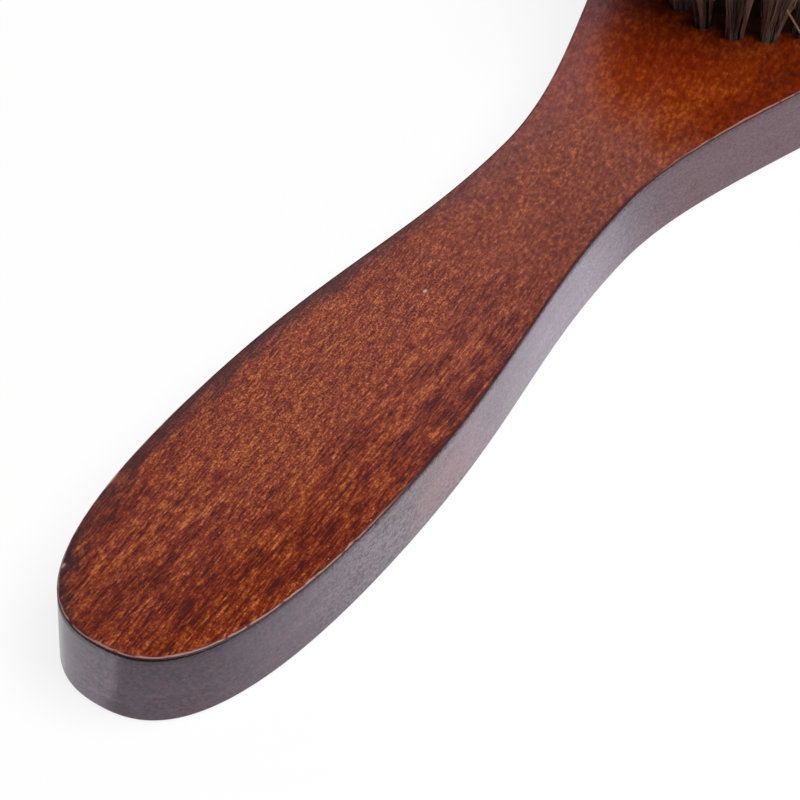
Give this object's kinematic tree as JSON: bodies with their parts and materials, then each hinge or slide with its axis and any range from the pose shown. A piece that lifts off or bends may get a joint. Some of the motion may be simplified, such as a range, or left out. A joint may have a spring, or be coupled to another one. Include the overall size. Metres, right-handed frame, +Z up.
{
  "type": "shoe shine brush",
  "caption": "Shoe shine brush: a flat wooden body with a rounded handle, narrow neck and oval head, filled with dark horsehair tufts held by wire anchors.",
  "frame": {"origin": "on the flat back face that the brush lies on, under the middle of its length, on its line of symmetry", "axes": "+X along the brush from the end of the handle to the toe of the head, +Y across it to the left, +Z up, out of the face that the hair stands in"},
  "size_m": [0.242, 0.057, 0.0345],
  "materials": {
    "stained_wood": "satin",
    "horsehair": "matte",
    "anchor_wire": "satin"
  },
  "bodies": {
    "root": {"brush_body": "stained_wood", "middle_row_anchors": "anchor_wire", "middle_row_tufts": "horsehair", "ring_1_heel_left_anchors": "anchor_wire", "ring_1_heel_left_tufts": "horsehair", "ring_1_heel_right_anchors": "anchor_wire", "ring_1_heel_right_tufts": "horsehair", "ring_1_toe_left_anchors": "anchor_wire", "ring_1_toe_left_tufts": "horsehair", "ring_1_toe_right_anchors": "anchor_wire", "ring_1_toe_right_tufts": "horsehair", "ring_2_heel_left_anchors": "anchor_wire", "ring_2_heel_left_tufts": "horsehair", "ring_2_heel_right_anchors": "anchor_wire", "ring_2_heel_right_tufts": "horsehair", "ring_2_toe_left_anchors": "anchor_wire", "ring_2_toe_left_tufts": "horsehair", "ring_2_toe_right_anchors": "anchor_wire", "ring_2_toe_right_tufts": "horsehair", "ring_3_heel_left_anchors": "anchor_wire", "ring_3_heel_left_tufts": "horsehair", "ring_3_heel_right_anchors": "anchor_wire", "ring_3_heel_right_tufts": "horsehair", "ring_3_toe_left_anchors": "anchor_wire", "ring_3_toe_left_tufts": "horsehair", "ring_3_toe_right_anchors": "anchor_wire", "ring_3_toe_right_tufts": "horsehair", "ring_4_heel_left_anchors": "anchor_wire", "ring_4_heel_left_tufts": "horsehair", "ring_4_heel_right_anchors": "anchor_wire", "ring_4_heel_right_tufts": "horsehair", "ring_4_toe_left_anchors": "anchor_wire", "ring_4_toe_left_tufts": "horsehair", "ring_4_toe_right_anchors": "anchor_wire", "ring_4_toe_right_tufts": "horsehair"}
  },
  "joints": []
}
